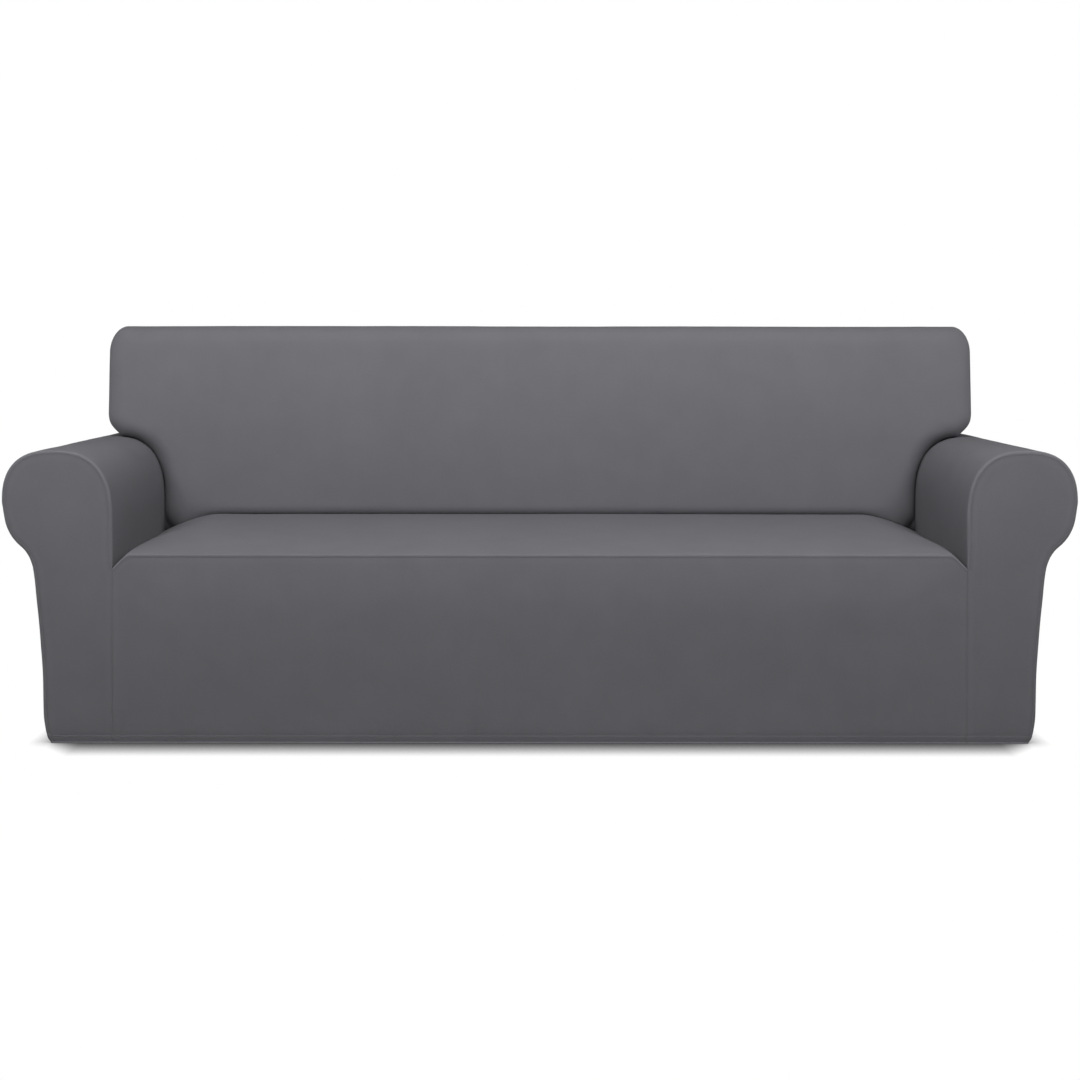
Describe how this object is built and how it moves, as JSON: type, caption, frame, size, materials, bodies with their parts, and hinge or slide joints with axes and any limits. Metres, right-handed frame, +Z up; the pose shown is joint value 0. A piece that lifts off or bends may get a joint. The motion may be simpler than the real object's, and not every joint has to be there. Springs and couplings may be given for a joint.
{
  "type": "sofa slipcover",
  "caption": "Fitted stretch slipcover for a long sofa with outward-rolled arms and an eared back: a hollow knit shell, open at the floor.",
  "frame": {"origin": "on the floor under the middle of the cover, at the bottom centre of its box", "axes": "+Z up; +X along the sofa, to the right for someone who faces its front; -Y towards that person"},
  "size_m": [2.34, 0.92, 0.912],
  "materials": {
    "cover_cloth": "matt grey stretch knit with a fine even grain, seams stitched in thread of the same grey"
  },
  "bodies": {
    "root": {"seat_panel": "cover_cloth", "front_skirt": "cover_cloth", "arm_left": "cover_cloth", "arm_right": "cover_cloth", "arm_front_left": "cover_cloth", "arm_front_right": "cover_cloth", "inside_back": "cover_cloth", "outside_back": "cover_cloth"}
  },
  "joints": []
}
